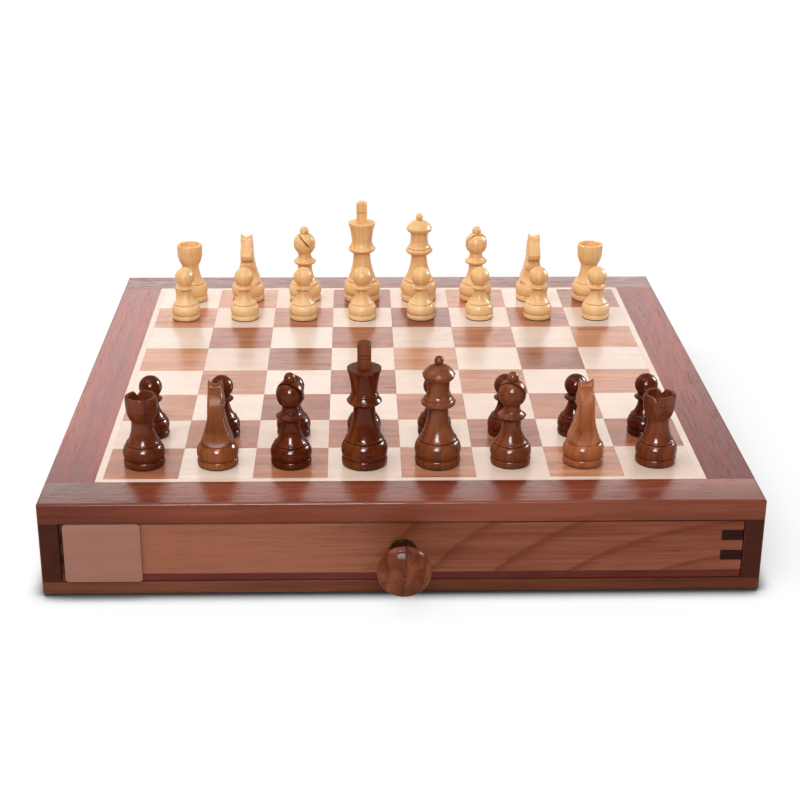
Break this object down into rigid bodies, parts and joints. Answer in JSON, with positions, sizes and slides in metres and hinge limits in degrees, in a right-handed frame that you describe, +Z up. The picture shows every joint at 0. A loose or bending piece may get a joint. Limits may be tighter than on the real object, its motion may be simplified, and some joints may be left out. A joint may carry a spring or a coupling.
{
  "type": "chess box with drawers",
  "caption": "Low square wooden box with an inlaid chessboard top, a turned-knob drawer in the front and in the back, and a set of turned chessmen.",
  "frame": {"origin": "on the surface that the box stands on, under the middle of the box", "axes": "+Z up, -Y out of the front where the plate and the dark men are, +X to the right seen from the front"},
  "size_m": [0.4, 0.459, 0.1305],
  "materials": {
    "walnut": "satin lacquer over brown wood with straight streaked grain",
    "drawer_walnut": "satin lacquer over reddish brown wood",
    "maple_squares": "satin lacquer over pale veneer",
    "walnut_squares": "satin lacquer over tan to brown veneer",
    "maple_line": "satin lacquer over pale wood",
    "plywood": "bare, sanded",
    "divider_wood": "bare, sanded",
    "felt": "matt felt",
    "plate": "satin, bare of lettering",
    "knob_wood": "gloss lacquer",
    "dark_men": "gloss lacquer over dark red-brown wood",
    "light_men": "satin lacquer over pale yellow wood"
  },
  "bodies": {
    "box": {"top_rail_front": "walnut", "top_rail_back": "walnut", "top_rail_left": "walnut", "top_rail_right": "walnut", "board_core": "plywood", "light_squares": "maple_squares", "dark_squares": "walnut_squares", "stringing": "maple_line", "side_wall_left": "walnut", "side_wall_right": "walnut", "bottom_board": "walnut", "middle_wall": "plywood", "felt_pads": "felt"},
    "drawer_front": {"front_drawer_face": "drawer_walnut", "front_drawer_sides": "drawer_walnut", "front_drawer_back": "drawer_walnut", "front_drawer_bottom": "plywood", "front_drawer_dividers": "divider_wood", "front_drawer_lining": "felt", "front_drawer_knob": "knob_wood", "name_plate": "plate"},
    "drawer_rear": {"rear_drawer_face": "drawer_walnut", "rear_drawer_sides": "drawer_walnut", "rear_drawer_back": "drawer_walnut", "rear_drawer_bottom": "plywood", "rear_drawer_dividers": "divider_wood", "rear_drawer_lining": "felt", "rear_drawer_knob": "knob_wood"},
    "dark_rook_left": {"dark_rook_left": "dark_men"},
    "dark_knight_left": {"dark_knight_left": "dark_men"},
    "dark_bishop_left": {"dark_bishop_left": "dark_men"},
    "dark_king": {"dark_king": "dark_men"},
    "dark_queen": {"dark_queen": "dark_men"},
    "dark_bishop_right": {"dark_bishop_right": "dark_men"},
    "dark_knight_right": {"dark_knight_right": "dark_men"},
    "dark_rook_right": {"dark_rook_right": "dark_men"},
    "dark_pawn_1": {"dark_pawn_1": "dark_men"},
    "dark_pawn_2": {"dark_pawn_2": "dark_men"},
    "dark_pawn_3": {"dark_pawn_3": "dark_men"},
    "dark_pawn_4": {"dark_pawn_4": "dark_men"},
    "dark_pawn_5": {"dark_pawn_5": "dark_men"},
    "dark_pawn_6": {"dark_pawn_6": "dark_men"},
    "dark_pawn_7": {"dark_pawn_7": "dark_men"},
    "dark_pawn_8": {"dark_pawn_8": "dark_men"},
    "light_rook_left": {"light_rook_left": "light_men"},
    "light_knight_left": {"light_knight_left": "light_men"},
    "light_bishop_left": {"light_bishop_left": "light_men"},
    "light_king": {"light_king": "light_men"},
    "light_queen": {"light_queen": "light_men"},
    "light_bishop_right": {"light_bishop_right": "light_men"},
    "light_knight_right": {"light_knight_right": "light_men"},
    "light_rook_right": {"light_rook_right": "light_men"},
    "light_pawn_1": {"light_pawn_1": "light_men"},
    "light_pawn_2": {"light_pawn_2": "light_men"},
    "light_pawn_3": {"light_pawn_3": "light_men"},
    "light_pawn_4": {"light_pawn_4": "light_men"},
    "light_pawn_5": {"light_pawn_5": "light_men"},
    "light_pawn_6": {"light_pawn_6": "light_men"},
    "light_pawn_7": {"light_pawn_7": "light_men"},
    "light_pawn_8": {"light_pawn_8": "light_men"}
  },
  "joints": [
    {"name": "drawer_front_slide", "type": "slide", "parent": "box", "child": "drawer_front", "axis": [0, -1, 0], "range_m": [0, 0.16]},
    {"name": "drawer_rear_slide", "type": "slide", "parent": "box", "child": "drawer_rear", "axis": [0, 1, 0], "range_m": [0, 0.16]},
    {"name": "lift_dark_rook_left", "type": "slide", "parent": "box", "child": "dark_rook_left", "axis": [0, 0, 1], "range_m": [0, 0.1]},
    {"name": "lift_dark_knight_left", "type": "slide", "parent": "box", "child": "dark_knight_left", "axis": [0, 0, 1], "range_m": [0, 0.1]},
    {"name": "lift_dark_bishop_left", "type": "slide", "parent": "box", "child": "dark_bishop_left", "axis": [0, 0, 1], "range_m": [0, 0.1]},
    {"name": "lift_dark_king", "type": "slide", "parent": "box", "child": "dark_king", "axis": [0, 0, 1], "range_m": [0, 0.1]},
    {"name": "lift_dark_queen", "type": "slide", "parent": "box", "child": "dark_queen", "axis": [0, 0, 1], "range_m": [0, 0.1]},
    {"name": "lift_dark_bishop_right", "type": "slide", "parent": "box", "child": "dark_bishop_right", "axis": [0, 0, 1], "range_m": [0, 0.1]},
    {"name": "lift_dark_knight_right", "type": "slide", "parent": "box", "child": "dark_knight_right", "axis": [0, 0, 1], "range_m": [0, 0.1]},
    {"name": "lift_dark_rook_right", "type": "slide", "parent": "box", "child": "dark_rook_right", "axis": [0, 0, 1], "range_m": [0, 0.1]},
    {"name": "lift_dark_pawn_1", "type": "slide", "parent": "box", "child": "dark_pawn_1", "axis": [0, 0, 1], "range_m": [0, 0.1]},
    {"name": "lift_dark_pawn_2", "type": "slide", "parent": "box", "child": "dark_pawn_2", "axis": [0, 0, 1], "range_m": [0, 0.1]},
    {"name": "lift_dark_pawn_3", "type": "slide", "parent": "box", "child": "dark_pawn_3", "axis": [0, 0, 1], "range_m": [0, 0.1]},
    {"name": "lift_dark_pawn_4", "type": "slide", "parent": "box", "child": "dark_pawn_4", "axis": [0, 0, 1], "range_m": [0, 0.1]},
    {"name": "lift_dark_pawn_5", "type": "slide", "parent": "box", "child": "dark_pawn_5", "axis": [0, 0, 1], "range_m": [0, 0.1]},
    {"name": "lift_dark_pawn_6", "type": "slide", "parent": "box", "child": "dark_pawn_6", "axis": [0, 0, 1], "range_m": [0, 0.1]},
    {"name": "lift_dark_pawn_7", "type": "slide", "parent": "box", "child": "dark_pawn_7", "axis": [0, 0, 1], "range_m": [0, 0.1]},
    {"name": "lift_dark_pawn_8", "type": "slide", "parent": "box", "child": "dark_pawn_8", "axis": [0, 0, 1], "range_m": [0, 0.1]},
    {"name": "lift_light_rook_left", "type": "slide", "parent": "box", "child": "light_rook_left", "axis": [0, 0, 1], "range_m": [0, 0.1]},
    {"name": "lift_light_knight_left", "type": "slide", "parent": "box", "child": "light_knight_left", "axis": [0, 0, 1], "range_m": [0, 0.1]},
    {"name": "lift_light_bishop_left", "type": "slide", "parent": "box", "child": "light_bishop_left", "axis": [0, 0, 1], "range_m": [0, 0.1]},
    {"name": "lift_light_king", "type": "slide", "parent": "box", "child": "light_king", "axis": [0, 0, 1], "range_m": [0, 0.1]},
    {"name": "lift_light_queen", "type": "slide", "parent": "box", "child": "light_queen", "axis": [0, 0, 1], "range_m": [0, 0.1]},
    {"name": "lift_light_bishop_right", "type": "slide", "parent": "box", "child": "light_bishop_right", "axis": [0, 0, 1], "range_m": [0, 0.1]},
    {"name": "lift_light_knight_right", "type": "slide", "parent": "box", "child": "light_knight_right", "axis": [0, 0, 1], "range_m": [0, 0.1]},
    {"name": "lift_light_rook_right", "type": "slide", "parent": "box", "child": "light_rook_right", "axis": [0, 0, 1], "range_m": [0, 0.1]},
    {"name": "lift_light_pawn_1", "type": "slide", "parent": "box", "child": "light_pawn_1", "axis": [0, 0, 1], "range_m": [0, 0.1]},
    {"name": "lift_light_pawn_2", "type": "slide", "parent": "box", "child": "light_pawn_2", "axis": [0, 0, 1], "range_m": [0, 0.1]},
    {"name": "lift_light_pawn_3", "type": "slide", "parent": "box", "child": "light_pawn_3", "axis": [0, 0, 1], "range_m": [0, 0.1]},
    {"name": "lift_light_pawn_4", "type": "slide", "parent": "box", "child": "light_pawn_4", "axis": [0, 0, 1], "range_m": [0, 0.1]},
    {"name": "lift_light_pawn_5", "type": "slide", "parent": "box", "child": "light_pawn_5", "axis": [0, 0, 1], "range_m": [0, 0.1]},
    {"name": "lift_light_pawn_6", "type": "slide", "parent": "box", "child": "light_pawn_6", "axis": [0, 0, 1], "range_m": [0, 0.1]},
    {"name": "lift_light_pawn_7", "type": "slide", "parent": "box", "child": "light_pawn_7", "axis": [0, 0, 1], "range_m": [0, 0.1]},
    {"name": "lift_light_pawn_8", "type": "slide", "parent": "box", "child": "light_pawn_8", "axis": [0, 0, 1], "range_m": [0, 0.1]}
  ]
}
